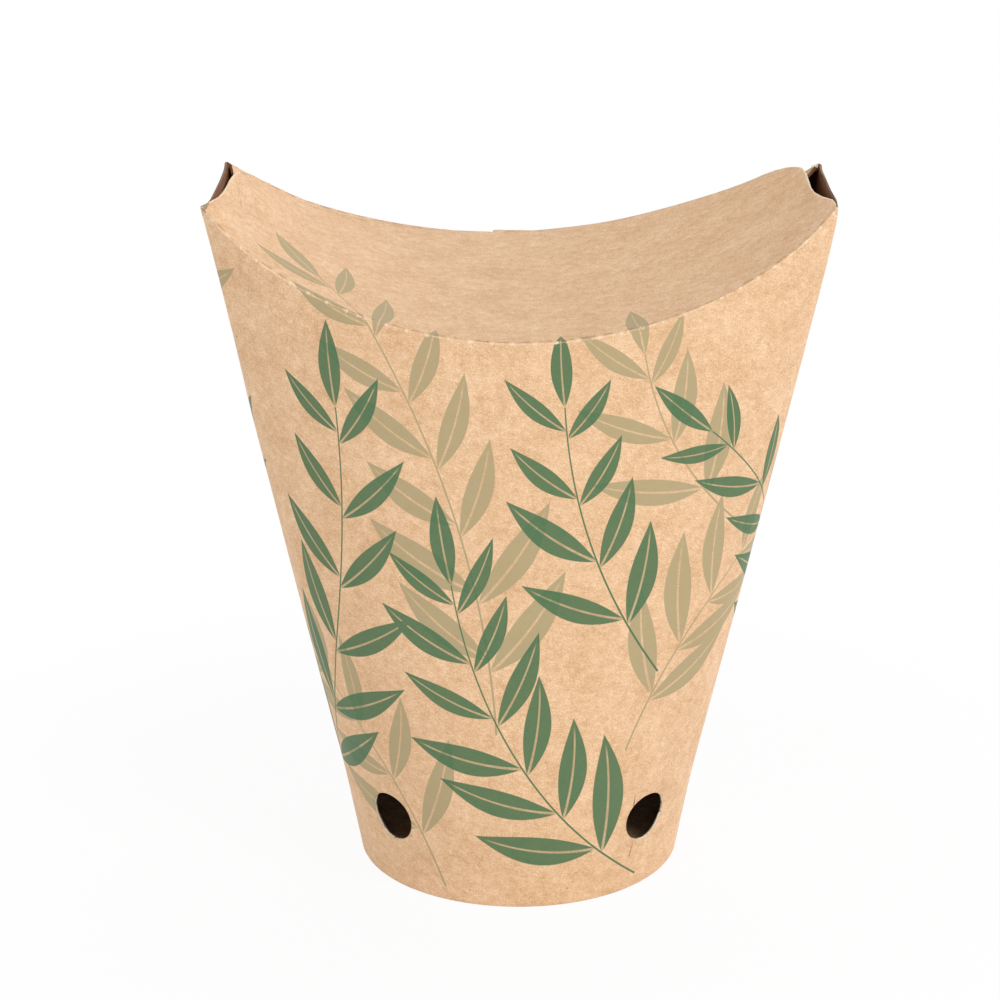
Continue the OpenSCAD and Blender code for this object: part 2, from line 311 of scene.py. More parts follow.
def mark_skins(obj):
    skin = np.zeros(len(obj.data.polygons), np.int32)
    for value, point, facing in SKIN_SEEDS:
        skin[select_skin(obj, Vector(point) * MM, Vector(facing))] = value
    low = numbers(obj.data.polygons, "center", 3)[:, 2] < HEM_TOP
    skin[low & (skin == EDGE)] = WALL
    obj.data.attributes.new("skin", "INT", "FACE").data.foreach_set("value", skin)


# The skin of each face, as it is now
def skin_of(obj):
    return numbers(obj.data.attributes["skin"].data, "value", 1, np.int32)


# The crease between the wall and a flap, as edges and as a line of points from left to right
def crease_edges(mesh, skin, flap):
    sides = [[] for _ in mesh.edges]
    for poly in mesh.polygons:
        for loop in poly.loop_indices:
            sides[mesh.loops[loop].edge_index].append(int(skin[poly.index]))
    return [edge for edge in mesh.edges if set(sides[edge.index]) == {WALL, flap}]


def crease_line(mesh, skin, flap):
    ends = {i for edge in crease_edges(mesh, skin, flap) for i in edge.vertices}
    line = np.array(sorted(tuple(mesh.vertices[i].co) for i in ends))
    return line / MM


# Rounds the ridge between the wall and each flap
def round_folds(obj):
    mesh = obj.data
    skin = skin_of(obj)
    bpy.ops.object.mode_set(mode="EDIT")
    bpy.ops.mesh.select_mode(type="EDGE")
    bpy.ops.mesh.select_all(action="DESELECT")
    bpy.ops.object.mode_set(mode="OBJECT")
    for flap in (FRONT_FLAP, BACK_FLAP):
        for edge in crease_edges(mesh, skin, flap):
            edge.select = max(abs(mesh.vertices[i].co.x) for i in edge.vertices) < FOLD_END
    bpy.ops.object.mode_set(mode="EDIT")
    bpy.ops.mesh.bevel(
        offset=FOLD_R, segments=FOLD_SEGMENTS, profile=0.5, clamp_overlap=False, loop_slide=False)
    bpy.ops.mesh.select_mode(type="FACE")
    bpy.ops.object.mode_set(mode="OBJECT")
    chosen = numbers(mesh.polygons, "select", 1, bool)
    skin = skin_of(obj)
    skin[chosen] = FOLD
    mesh.attributes["skin"].data.foreach_set("value", skin)


# Cuts the faces of some skins by a row of planes
def cut_skins(obj, kinds, planes):
    bpy.ops.object.mode_set(mode="EDIT")
    bpy.ops.mesh.reveal(select=False)
    bpy.ops.mesh.select_all(action="DESELECT")
    bpy.ops.object.mode_set(mode="OBJECT")
    obj.data.polygons.foreach_set("select", np.isin(skin_of(obj), kinds))
    bpy.ops.object.mode_set(mode="EDIT")
    bpy.ops.mesh.hide(unselected=True)
    for point, normal in planes:
        bpy.ops.mesh.select_all(action="SELECT")
        bpy.ops.mesh.bisect(plane_co=point, plane_no=normal, threshold=MERGE / 10)
    bpy.ops.mesh.reveal(select=False)
    bpy.ops.object.mode_set(mode="OBJECT")


# An even row of parallel planes
def rows(start, end, step, normal):
    normal = Vector(normal)
    return [(normal * s, normal) for s in np.arange(start, end, step)]


# The folded wall: a copy of the CAD solid, merged, with rounded folds and a fine even grid
def make_sheet():
    obj = copy_of("cup_wall", "folded_wall")
    only(obj)
    bpy.ops.object.mode_set(mode="EDIT")
    bpy.ops.mesh.select_all(action="SELECT")
    bpy.ops.mesh.remove_doubles(threshold=MERGE)
    bpy.ops.mesh.tris_convert_to_quads(face_threshold=PAIR_ANGLE, shape_threshold=pi)
    bpy.ops.object.mode_set(mode="OBJECT")
    mark_skins(obj)
    creases = [crease_line(obj.data, skin_of(obj), flap) for flap in (FRONT_FLAP, BACK_FLAP)]
    round_folds(obj)
    turns = [(Vector((0, 0, 0)), Vector((cos(t), sin(t), 0))) for t in np.arange(0, pi, TURN)]
    cut_skins(obj, [WALL], rows(ROW, CUP_H, ROW, UPWARDS) + turns)
    flap_rows = rows(-FLAP_HALF_D, FLAP_HALF_D, ROW, TO_BACK)
    flap_rows += rows(-CUP_HALF_W, CUP_HALF_W, ROW, TO_RIGHT)
    cut_skins(obj, [FRONT_FLAP, BACK_FLAP], flap_rows)
    cut_skins(obj, [FRONT_FLAP], rows(-SIDE_HALF_D, -CORNER_END, CORNER_ROW, TO_BACK))
    cut_skins(obj, [FOLD], rows(-CUP_HALF_W, CUP_HALF_W, FOLD_STEP, TO_RIGHT))
    lining_rows = rows(LINING_LOW, CUP_H, LINING_ROW, UPWARDS)
    lining_rows += rows(-SIDE_HALF_D, SIDE_HALF_D, LINING_ROW, TO_BACK)
    cut_skins(obj, [LINING], lining_rows)
    bpy.ops.object.mode_set(mode="EDIT")
    bpy.ops.mesh.select_all(action="SELECT")
    bpy.ops.mesh.remove_doubles(threshold=SLIVER)
    bpy.ops.object.mode_set(mode="OBJECT")
    return obj, creases


# Place of each corner of each face, the first corner of each face, and each corner's face
def corner_data(mesh):
    points = numbers(mesh.vertices, "co", 3)[numbers(mesh.loops, "vertex_index", 1, np.int32)] / MM
    starts = numbers(mesh.polygons, "loop_start", 1, np.int32)
    sizes = numbers(mesh.polygons, "loop_total", 1, np.int32)
    owner = np.repeat(np.arange(len(starts)), sizes)
    return points, starts, owner


# Turn of each point round the cup, from the middle of the front
def turn_of(points):
    return np.arctan2(points[:, 0], -points[:, 1])


# The same turn, carried on past the back as far as the lap
def angle_of(points, middles):
    angle = turn_of(points)
    behind = points[:, 1] > 0
    right = (middles[:, 0] > LAP_EDGE) & behind
    left = (middles[:, 0] <= LAP_EDGE) & behind
    angle[right & (angle < 0)] += 2 * pi
    angle[left & (angle > 0)] -= 2 * pi
    return angle


# The wall's ring of points at one height, in the order of their turn
def ring_at(points, level):
    ring = points[np.abs(points[:, 2] - level) < RING_GAP, :2]
    return ring[np.argsort(turn_of(ring))]


# Distance round the wall at each level, as a table over angle
def girth_table(points):
    angles = np.linspace(-1.2 * pi, 1.2 * pi, GIRTH_STEPS)
    table = []
    for level in LEVELS:
        ring = ring_at(points, level)
        turn = turn_of(ring)
        run = np.cumsum(np.hypot(*np.diff(ring, axis=0, prepend=ring[:1]).T))
        whole = run[-1] + np.hypot(*(ring[0] - ring[-1]))
        turn = np.concatenate([turn - 2 * pi, turn, turn + 2 * pi])
        run = np.concatenate([run - whole, run, run + whole])
        table.append(np.interp(angles, turn, run) - np.interp(0, turn, run))
    return angles, np.array(table)


# Place of a height among the levels, counted in rows
def row_of(height):
    return (height - LEVELS[0]) / (LEVELS[1] - LEVELS[0])


# Value of such a table at each angle and row, carried on straight past its first and last row
def read_table(angles, table, angle, row):
    by_level = np.array([np.interp(angle, angles, line) for line in table])
    low = np.clip(row.astype(int), 0, len(table) - 2)
    share = row - low
    column = np.arange(len(angle))
    return by_level[low, column] * (1 - share) + by_level[low + 1, column] * share


# The flat board: each corner of each face gets its place on it, round the cup and up
def blank_of(points, owner, skin, middles, creases):
    middles = middles[owner]
    kind = skin[owner]
    walls = points[(kind == WALL) & (points[:, 2] < LEVELS[-1] + 1)]
    angles, table = girth_table(np.unique(walls.round(4), axis=0))
    foot = points.copy()
    rise = np.zeros(len(points))
    for flap, line in zip((FRONT_FLAP, BACK_FLAP), creases):
        across = (kind == flap) | ((kind == FOLD) & ((middles[:, 1] < 0) == (flap == FRONT_FLAP)))
        for axis in (1, 2):
            foot[across, axis] = np.interp(points[across, 0], line[:, 0], line[:, axis])
        rise[across] = np.hypot(points[across, 1] - foot[across, 1], points[across, 2] - foot[across, 2])
    u = read_table(angles, table, angle_of(foot, middles), row_of(foot[:, 2]))
    return np.stack([u, foot[:, 2] + rise], 1)


# Place and heading on a sprig's bowed stem, at shares of its length
def stem_at(sprig, t):
    (x0, y0), (x1, y1), bow = sprig[1:4]
    t = np.asarray(t, float)
    span = np.hypot(x1 - x0, y1 - y0)
    side = 4 * bow * t * (1 - t) / span
    turn = 4 * bow * (1 - 2 * t) / span
    place = np.stack([x0 + (x1 - x0) * t - (y1 - y0) * side, y0 + (y1 - y0) * t + (x1 - x0) * side], -1)
    heading = np.arctan2((y1 - y0) + (x1 - x0) * turn, (x1 - x0) - (y1 - y0) * turn)
    return place, heading


# A sprig's leaves: foot, heading, length, half width and bend of each
def leaves_on(sprig, rng):
    pairs, leaf_l = sprig[4:6]
    leaves = []
    for i in range(pairs):
        t = (i + 1) / (pairs + TIP_PAIR)
        for side in (-1, 1):
            place, heading = stem_at(sprig, t + side * PAIR_STAGGER)
            length = leaf_l * (LEAF_FIRST - LEAF_SHRINK * t) * rng.uniform(*VARY_LENGTH)
            tilt = heading + side * (LEAF_TILT + rng.uniform(*VARY_TILT))
            half = LEAF_SLIM * length * rng.uniform(*VARY_WIDTH)
            leaves.append((*place, tilt, length, half, side * LEAF_BEND))
    place, heading = stem_at(sprig, 1)
    leaves.append((*place, heading, leaf_l * TIP_LENGTH, LEAF_SLIM * leaf_l * TIP_WIDTH, TIP_BEND))
    return leaves


# Places on the board in a leaf's own terms: along it, across it in half widths, and its bend
def leaf_local(blank, leaf):
    x, y, turn, length, half, bend = leaf
    du, dv = blank[:, 0] - x, blank[:, 1] - y
    along = (du * cos(turn) + dv * sin(turn)) / length
    across = (dv * cos(turn) - du * sin(turn)) / half
    return along, across, np.full(len(along), bend)


# How well a leaf covers each point, and how near a stem is, worse past their ends
def leaf_inside(along, across, bend):
    t = np.clip(along, 0, 1)
    return np.sin(pi * t) - np.abs(across - 4 * bend * t * (1 - t)) - 8 * np.abs(along - t)


# For each face, the two shapes that cover it best, as each corner's place in their own terms
def best_local(blank, starts, owner, shapes, local, inside):
    score = np.array([np.maximum.reduceat(inside(*local(blank, s)), starts) for s in shapes])
    layers = []
    for _ in range(2):
        best = score.argmax(0)
        score[best, np.arange(score.shape[1])] = -np.inf
        data = np.zeros((len(blank), 3))
        for i, shape in enumerate(shapes):
            mine = best[owner] == i
            data[mine] = np.stack(local(blank[mine], shape), 1)
        layers.append(data)
    return layers


# The same for a stem: along it, and across it in half widths
def stem_local(blank, sprig):
    place, heading = stem_at(sprig, np.linspace(0, 1, STEM_STEPS))
    gap = np.hypot(blank[:, :1] - place[:, 0], blank[:, 1:] - place[:, 1])
    near = gap.argmin(1)
    dx, dy = (blank - place[near]).T
    across = dy * np.cos(heading[near]) - dx * np.sin(heading[near])
    along = dx * np.cos(heading[near]) + dy * np.sin(heading[near])
    span = np.hypot(*(place[-1] - place[0]))
    return near / (STEM_STEPS - 1) + along / span, across / STEM_HALF, np.zeros(len(near))


def stem_inside(along, across, _):
    return -np.abs(across) - 400 * np.abs(along - np.clip(along, 0, 1))


# Stores a vector at each corner of each face, for the materials
def add_attribute(mesh, name, data):
    full = np.zeros((len(data), 3))
    full[:, :data.shape[1]] = data
    mesh.attributes.new(name, "FLOAT_VECTOR", "CORNER").data.foreach_set("vector", full.ravel())


def print_sprigs(mesh, blank, starts, owner):
    rng = np.random.default_rng(SPRIG_SEED)
    for tone in ("dark", "pale"):
        sprigs = [s for s in SPRIGS if s[0] == tone]
        leaves = [leaf for s in sprigs for leaf in leaves_on(s, rng)]
        front, behind = best_local(blank, starts, owner, leaves, leaf_local, leaf_inside)
        add_attribute(mesh, tone + "_leaf", front)
        add_attribute(mesh, tone + "_leaf_behind", behind)
        stem, _ = best_local(blank, starts, owner, sprigs, stem_local, stem_inside)
        add_attribute(mesh, tone + "_stem", stem)


# A search tree of points
def tree_of(points):
    tree = KDTree(len(points))
    for i, point in enumerate(points):
        tree.insert(point, i)
    tree.balance()
    return tree


# Distance along and across the nearest crease, across counted up on the flap's side
def fold_of(points, owner, skin, creases):
    fold = np.full((len(points), 2), FAR)
    for flap, line, inward in zip((FRONT_FLAP, BACK_FLAP), creases, (1, -1)):
        run = np.cumsum(np.linalg.norm(np.diff(line, axis=0, prepend=line[:1]), axis=1))
        steps = np.arange(0, run[-1], RIDGE_STEP)
        ridge = np.stack([np.interp(steps, run, line[:, i]) for i in range(3)], 1)
        tree = tree_of(ridge)
        ridge_z = np.interp(points[:, 0], line[:, 0], line[:, 2])
        close = (np.abs(points[:, 2] - ridge_z) < 2 * FOLD_REACH) & (points[:, 1] * inward < 0)
        close &= np.isin(skin[owner], (WALL, FOLD, flap))
        for i in np.flatnonzero(close):
            _, step, gap = tree.find(points[i])
            over = (points[i, 1] - ridge[step, 1]) * inward + points[i, 2] - ridge[step, 2]
            fold[i] = steps[step], np.copysign(gap, over)
    return fold


# Distance of the front flap's face corners from its cut side edges
def rim_of(points, owner, skin):
    kind = skin[owner]
    edge = np.unique(points[kind == EDGE].round(3), axis=0)
    flap = np.unique(points[kind == FRONT_FLAP].round(3), axis=0)
    shared = set(map(tuple, edge)) & set(map(tuple, flap))
    line = np.array([p for p in shared if abs(p[0]) > RIM_FROM_X and p[1] > RIM_FROM_Y])
    sides = []
    for side in (-1, 1):
        run = line[line[:, 0] * side > 0]
        run = run[np.argsort(run[:, 1])]
        depth = np.linspace(run[0, 1], run[-1, 1], len(line) * RIM_STEPS)
        sides.append(np.stack([np.interp(depth, run[:, 1], run[:, i]) for i in range(3)], 1))
    tree = tree_of(np.concatenate(sides))
    rim = np.full(len(points), FAR)
    for i in np.flatnonzero((kind == FRONT_FLAP) & (np.abs(points[:, 0]) > RIM_FROM_X - RIM_MARGIN)):
        rim[i] = tree.find(points[i])[2]
    return rim


# Smooth step of a value from 0 at one place to 1 at another
def ease(value, start, end):
    t = np.clip((value - start) / (end - start), 0, 1)
    return t * t * (3 - 2 * t)


# The corners of the wall's ring at one height, without points in line, and the turn at each
def ring_corners(points, level):
    ring = ring_at(points, level)
    ring = ring[np.hypot(*(ring - np.roll(ring, 1, 0)).T) > SHORT_STEP]
    step = np.roll(ring, -1, 0) - ring
    heading = np.arctan2(step[:, 1], step[:, 0])
    turn = (heading - np.roll(heading, 1) + pi) % (2 * pi) - pi
    keep = np.abs(turn) > STRAIGHT_TURN
    return ring[keep], turn[keep]


# How far a smooth wall stands out from the chord of each facet, as a table over angle. An arc
# stands out by an eighth of its chord times its turn, here the mean of the turns at both ends.
def swell_table(points, levels):
    angles = np.linspace(-pi, pi, SWELL_STEPS)
    table = []
    for level in levels:
        ring, turn = ring_corners(points, level)
        turn = np.where(np.abs(turn) < SHARP_TURN, turn, 0)
        chord = np.hypot(*(np.roll(ring, -1, 0) - ring).T)
        swell = chord * (turn + np.roll(turn, -1)) / 16
        place = turn_of(ring)
        index = np.searchsorted(place, angles) - 1
        start, end = place[index], place[(index + 1) % len(place)]
        t = np.clip(((angles - start) % (2 * pi)) / np.maximum((end - start) % (2 * pi), 1e-6), 0, 1)
        table.append(4 * t * (1 - t) * swell[index])
    return angles, np.array(table)


# Moves the points of the foot out on to a smooth round
def round_foot(spots, outer):
    levels = LEVELS[LEVELS < ROUND_NONE]
    angles, table = swell_table(outer, levels)
    row = np.clip(row_of(spots[:, 2]), 0, len(levels) - 1.001)
    swell = read_table(angles, table, turn_of(spots), row)
    swell *= 1 - ease(spots[:, 2], ROUND_FULL, ROUND_NONE)
    flat = spots[:, :2] / np.maximum(np.hypot(*spots[:, :2].T), 1e-6)[:, None]
    spots[:, :2] += flat * swell[:, None]


# Moves the ends of the closed cup as far as the real one has settled
def settle(spots, wall, front, back):
    x, y, z = spots.T.copy()
    left = x < 0
    bulge = np.where(left, np.interp(z, *BULGE_LEFT), np.interp(z, *BULGE_RIGHT))
    spots[:, 0] += bulge * np.abs(x) / np.interp(z, *HALF_WIDTHS)
    end = ease(np.abs(x), *SIDE_ENDS)
    high = np.clip((z - SIDE_LOW) / (SIDE_HIGH - SIDE_LOW), 0, 1) ** SIDE_POWER
    side = np.where(left, np.interp(y, *SIDE_LEFT), np.interp(y, *SIDE_RIGHT))
    spots[wall, 0] += (side * end * high)[wall]
    spots[wall, 2] += (np.interp(y, *SIDE_SUNK) * end * high * (z > SIDE_HIGH - SUNK_BAND))[wall]
    slant = np.where(left, np.interp(y, *BACK_LEFT), np.interp(y, *BACK_RIGHT))
    spots[back, 0] += (slant * ease(np.abs(x), *BACK_ENDS))[back]
    reach = np.where(left, np.interp(y, *FRONT_LEFT), np.interp(y, *FRONT_RIGHT))
    near = ease(np.abs(x), *FRONT_ENDS)
    spots[front, 0] += (reach * near)[front]
    spots[front, 2] += (np.interp(y, *FRONT_UP) * near)[front]
    spots[:, 2] += np.interp(x, *BACK_RISE) * ease(y, *RISE_REAR)
    corner = (ease(-x, *CORNER_LEFT) * ease(y, *CORNER_REAR))[front]
    spots[front, 1] += CORNER_BACK * corner
    spots[front, 2] += CORNER_UP * corner


# Lifts the ties of the perforated folds and sinks the cuts between them
def tear_folds(mesh, spots, corners, owner, skin, fold):
    torn = (skin[owner] == FOLD) & (np.abs(fold[:, 1]) < FOLD_R / MM)
    beat = np.abs(fold[torn, 0] / NICK_PITCH % 1 - 0.5)
    lift = TIE_HEIGHT * (1 - ease(beat, *TIE_EDGE)) - CUT_DEPTH * ease(beat, *CUT_EDGE)
    normals = numbers(mesh.vertices, "normal", 3)
    moved = np.zeros(len(spots))
    moved[corners[torn]] = lift
    spots += normals * moved[:, None]


# No edge inside the smooth wall is sharp
def soften_wall(mesh, skin, owner):
    edges = numbers(mesh.loops, "edge_index", 1, np.int32)
    inside = np.ones(len(mesh.edges), bool)
    inside[edges[skin[owner] != WALL]] = False
    sharp = numbers(mesh.attributes["sharp_edge"].data, "value", 1, bool)
    mesh.attributes["sharp_edge"].data.foreach_set("value", sharp & ~inside)


# Moves the wall's points as worn and settled, none past the box of the CAD solid
def shape_sheet(mesh, points, owner, skin, fold):
    corners = numbers(mesh.loops, "vertex_index", 1, np.int32)
    spots = numbers(mesh.vertices, "co", 3) / MM
    low, high = spots.min(0), spots.max(0)

    def touches(*kinds):
        mask = np.zeros(len(spots), bool)
        mask[corners[np.isin(skin[owner], kinds)]] = True
        return mask

    wall = touches(WALL, LINING, FOLD)
    front = touches(FRONT_FLAP, FRONT_LINING) & ~wall
    back = touches(BACK_FLAP, BACK_LINING) & ~wall
    tear_folds(mesh, spots, corners, owner, skin, fold)
    round_foot(spots, np.unique(points[skin[owner] == WALL].round(4), axis=0))
    settle(spots, wall, front, back)
    spots = np.clip(spots, low, high)
    mesh.vertices.foreach_set("co", (spots * MM).ravel())
    mesh.update()


# Which material each face has, as its place in the wall's list of materials
def material_places(skin, middles):
    x, y, z = np.abs(middles[:, 0]), middles[:, 1], middles[:, 2]
    cut = skin == EDGE
    # The back flap's cut ends in the open rear corners take the dark lining colour as painted shade
    dark = cut & (np.abs(x - SHADED_END_X) < SHADED_END_HALF_W) & (np.abs(y - SHADED_END_Y) < SHADED_END_HALF_D)
    lining_and_shaded_ends = np.isin(skin, (LINING, FRONT_LINING, BACK_LINING)) | (dark & (z > SHADED_END_LOW))
    # The top of each side wall is painted darker as shade
    shaded_rim = cut & (z > SHADED_RIM_LOW) & (np.abs(y) < SIDE_HALF_D / MM)
    shaded_rim &= x > SHADED_RIM_X - SHADED_RIM_SLANT * (y - SHADED_RIM_FRONT)
    # The webs of the folded front corners are painted pale as light, though they lie in shade
    lit_web = cut & (y < LIT_WEB_REAR) & (z > LIT_WEB_LOW)
    return np.select([lining_and_shaded_ends, lit_web, shaded_rim, cut], [1, 4, 3, 2], 0)


# Small helpers for shader nodes
def add_node(tree, kind, **settings):
    made = tree.nodes.new("ShaderNode" + kind)
    for key, value in settings.items():
        setattr(made, key, value)
    return made


def plug(tree, socket, value):
    if isinstance(value, bpy.types.NodeSocket):
        tree.links.new(value, socket)
    else:
        socket.default_value = value


def sums(tree, operation, *values):
    made = add_node(tree, "Math", operation=operation)
    for socket, value in zip(made.inputs, values):
        plug(tree, socket, value)
    return made.outputs[0]


def stretch(tree, vector, factors):
    made = add_node(tree, "VectorMath", operation="MULTIPLY")
    plug(tree, made.inputs[0], vector)
    plug(tree, made.inputs[1], factors)
    return made.outputs[0]


def noise(tree, vector, scale, detail, roughness, distortion=0):
    made = add_node(tree, "TexNoise", noise_dimensions="3D")
    plug(tree, made.inputs["Vector"], vector)
    plug(tree, made.inputs["Scale"], scale)
    plug(tree, made.inputs["Detail"], detail)
    plug(tree, made.inputs["Roughness"], roughness)
    plug(tree, made.inputs["Distortion"], distortion)
    return made.outputs["Fac"]


def ramp(tree, value, low, high, to_low=0, to_high=1):
    made = add_node(tree, "MapRange", interpolation_type="SMOOTHSTEP", clamp=True)
    for label, number in (("From Min", low), ("From Max", high), ("To Min", to_low), ("To Max", to_high)):
        plug(tree, made.inputs[label], number)
    plug(tree, made.inputs["Value"], value)
    return made.outputs["Result"]


def blend(tree, share, under, over):
    made = add_node(tree, "Mix", data_type="RGBA", blend_type="MIX")
    plug(tree, made.inputs["Factor"], share)
    plug(tree, made.inputs["A"], under)
    plug(tree, made.inputs["B"], over)
    return made.outputs["Result"]


def split(tree, vector):
    made = add_node(tree, "SeparateXYZ")
    plug(tree, made.inputs[0], vector)
    return made.outputs


def attribute(tree, name):
    return add_node(tree, "Attribute", attribute_name=name).outputs["Vector"]


def open_group(name, inputs, outputs):
    tree = bpy.data.node_groups.new(name, "ShaderNodeTree")
    for label, kind, value in inputs:
        socket = tree.interface.new_socket(label, in_out="INPUT", socket_type="NodeSocket" + kind)
        socket.default_value = value
    for label, kind in outputs:
        tree.interface.new_socket(label, in_out="OUTPUT", socket_type="NodeSocket" + kind)
    return tree, tree.nodes.new("NodeGroupInput").outputs, tree.nodes.new("NodeGroupOutput").inputs


def use_group(tree, group, **values):
    made = add_node(tree, "Group", node_tree=group)
    for label, value in values.items():
        plug(tree, made.inputs[label], value)
    return made.outputs


# Kraft board: soft blotches, short tangled fibres, fine grain and rare dark specks
def kraft_fibre_group():
    tree, given, gives = open_group(
        "kraft_fibre",
        [("Place", "Vector", (0, 0, 0)), ("Dark", "Color", KRAFT_DARK), ("Middle", "Color", KRAFT),
         ("Pale", "Color", KRAFT_PALE), ("Speck", "Color", KRAFT_SPECK)],
        [("Color", "Color"), ("Shade", "Float"), ("Height", "Float")])
    spot = given["Place"]
    blotch = noise(tree, spot, 0.13, 2, 0.5)
    cloud = noise(tree, spot, 0.55, 2, 0.5)
    turned = add_node(tree, "VectorRotate", rotation_type="Z_AXIS")
    plug(tree, turned.inputs["Vector"], spot)
    turned.inputs["Angle"].default_value = FIBRE_TURN
    fibre = noise(tree, stretch(tree, turned.outputs[0], (0.8, 1.3, 1)), 1.5, 4, 0.62, 1.4)
    grain = noise(tree, spot, 4.2, 2, 0.6)
    shade = sums(tree, "MULTIPLY_ADD", blotch, 0.7, -0.35)
    for layer, amount in ((cloud, 0.8), (fibre, 1.6), (grain, 1.7)):
        centred = sums(tree, "MULTIPLY_ADD", layer, amount, -amount / 2)
        shade = sums(tree, "ADD", shade, centred)
    deep = ramp(tree, shade, 0.04, -0.5)
    light = ramp(tree, shade, -0.04, 0.5)
    color = blend(tree, deep, given["Middle"], given["Dark"])
    color = blend(tree, light, color, given["Pale"])
    cells = add_node(tree, "TexVoronoi", feature="F1", voronoi_dimensions="2D")
    plug(tree, cells.inputs["Vector"], spot)
    plug(tree, cells.inputs["Scale"], 0.22)
    chance = split(tree, cells.outputs["Color"])
    size = sums(tree, "MULTIPLY", ramp(tree, chance[0], 0.9, 1), 0.04)
    dot = ramp(tree, sums(tree, "SUBTRACT", size, cells.outputs["Distance"]), -0.02, 0.02)
    dot = sums(tree, "MULTIPLY", dot, ramp(tree, chance[0], 0.9, 0.94))
    color = blend(tree, sums(tree, "MULTIPLY", dot, 0.6), color, given["Speck"])
    tree.links.new(color, gives["Color"])
    tree.links.new(shade, gives["Shade"])
    tree.links.new(sums(tree, "ADD", sums(tree, "MULTIPLY", shade, 0.6), 0.5), gives["Height"])
    return tree


# 1 between the ends of a leaf or stem, 0 past them
def within_ends(tree, along):
    begun = sums(tree, "GREATER_THAN", along, 0)
    return sums(tree, "MULTIPLY", begun, sums(tree, "LESS_THAN", along, 1))


# One leaf, from its own coordinates: along it from 0 to 1, across it in half widths, and its
# bend. The rib up its middle is nearly bare.
def leaf_group():
    tree, given, gives = open_group("sprig_leaf", [("Leaf", "Vector", (9, 9, 0))], [("Ink", "Float")])
    along, across, bend = split(tree, given["Leaf"])
    inner = sums(tree, "MULTIPLY", along, sums(tree, "SUBTRACT", 1, along))
    curve = sums(tree, "MULTIPLY", sums(tree, "MULTIPLY", inner, 4), bend)
    offset = sums(tree, "ABSOLUTE", sums(tree, "SUBTRACT", across, curve))
    width = sums(tree, "SINE", sums(tree, "MULTIPLY", sums(tree, "POWER", along, 0.9), pi))
    full = ramp(tree, sums(tree, "SUBTRACT", width, offset), -0.02, 0.04)
    rib = ramp(tree, sums(tree, "SUBTRACT", offset, sums(tree, "MULTIPLY", along, -0.05)), 0.13, 0.06)
    rib = sums(tree, "MULTIPLY", rib, ramp(tree, along, 0.94, 0.8))
    bare = sums(tree, "MULTIPLY_ADD", rib, -0.62, 1)
    ink = sums(tree, "MULTIPLY", sums(tree, "MULTIPLY", full, within_ends(tree, along)), bare)
    tree.links.new(ink, gives["Ink"])
    return tree


# One stem, from its own coordinates, thinner towards its tip
def stem_group():
    tree, given, gives = open_group("sprig_stem", [("Stem", "Vector", (9, 9, 0))], [("Ink", "Float")])
    along, across, _ = split(tree, given["Stem"])
    width = sums(tree, "MULTIPLY_ADD", along, -0.45, 1.2)
    line = ramp(tree, sums(tree, "SUBTRACT", width, sums(tree, "ABSOLUTE", across)), -0.2, 0.25)
    tree.links.new(sums(tree, "MULTIPLY", line, within_ends(tree, along)), gives["Ink"])
    return tree


# A perforated fold: a rubbed ridge, torn ties at an even pitch, fine cuts between them, and the
# pale rim of the front flap
def fold_group():
    tree, given, gives = open_group(
        "torn_fold", [("Fold", "Vector", (0, FAR, 0)), ("Place", "Vector", (0, 0, 0))],
        [("Torn", "Float"), ("Cut", "Float")])
    run, off, from_rim = split(tree, given["Fold"])
    ragged = noise(tree, given["Place"], 0.35, 1, 0.5)
    fine = noise(tree, given["Place"], 3.2, 3, 0.65)
    shift = sums(tree, "MULTIPLY_ADD", fine, 0.16, -0.08)
    beat = sums(tree, "FRACT", sums(tree, "ADD", sums(tree, "DIVIDE", run, NICK_PITCH), shift))
    from_tie = sums(tree, "ABSOLUTE", sums(tree, "SUBTRACT", beat, 0.5))
    waver = sums(tree, "MULTIPLY_ADD", fine, 0.8, -0.35)
    gap = sums(tree, "ABSOLUTE", sums(tree, "SUBTRACT", off, waver))
    ridge = sums(tree, "MULTIPLY", ramp(tree, gap, 0.22, 0.05), ramp(tree, ragged, 0.35, 0.62, 0.1, 0.7))
    tie_end = sums(tree, "MULTIPLY_ADD", ramp(tree, fine, 0.36, 0.62), 0.5, 0.05)
    tie = sums(tree, "MULTIPLY", ramp(tree, from_tie, 0.12, 0.04),
               ramp(tree, sums(tree, "SUBTRACT", gap, tie_end), 0.08, -0.08))
    torn = sums(tree, "MAXIMUM", sums(tree, "MAXIMUM", ridge, tie), ramp(tree, from_rim, 0.34, 0.24))
    cuts = []
    for middle, low, high, most in ((0.62, 0.32, 0.5, 1), (1.15, 0.46, 0.6, 0.7)):
        thin = ramp(tree, sums(tree, "ABSOLUTE", sums(tree, "SUBTRACT", off, middle)), 0.2, 0.08)
        kept = ramp(tree, ragged, low, high, 0, most)
        dash = sums(tree, "MULTIPLY", ramp(tree, from_tie, *CUT_EDGE), kept)
        cuts.append(sums(tree, "MULTIPLY", thin, dash))
    tree.links.new(torn, gives["Torn"])
    tree.links.new(sums(tree, "MAXIMUM", *cuts), gives["Cut"])
    return tree


# A material with its shader, and fine bumps for it
def new_material(name, roughness, specular):
    material = bpy.data.materials.new(name)
    material.use_nodes = True
    tree = material.node_tree
    shader = tree.nodes["Principled BSDF"]
    shader.inputs["Roughness"].default_value = roughness
    shader.inputs["Specular IOR Level"].default_value = specular
    return material, tree, shader


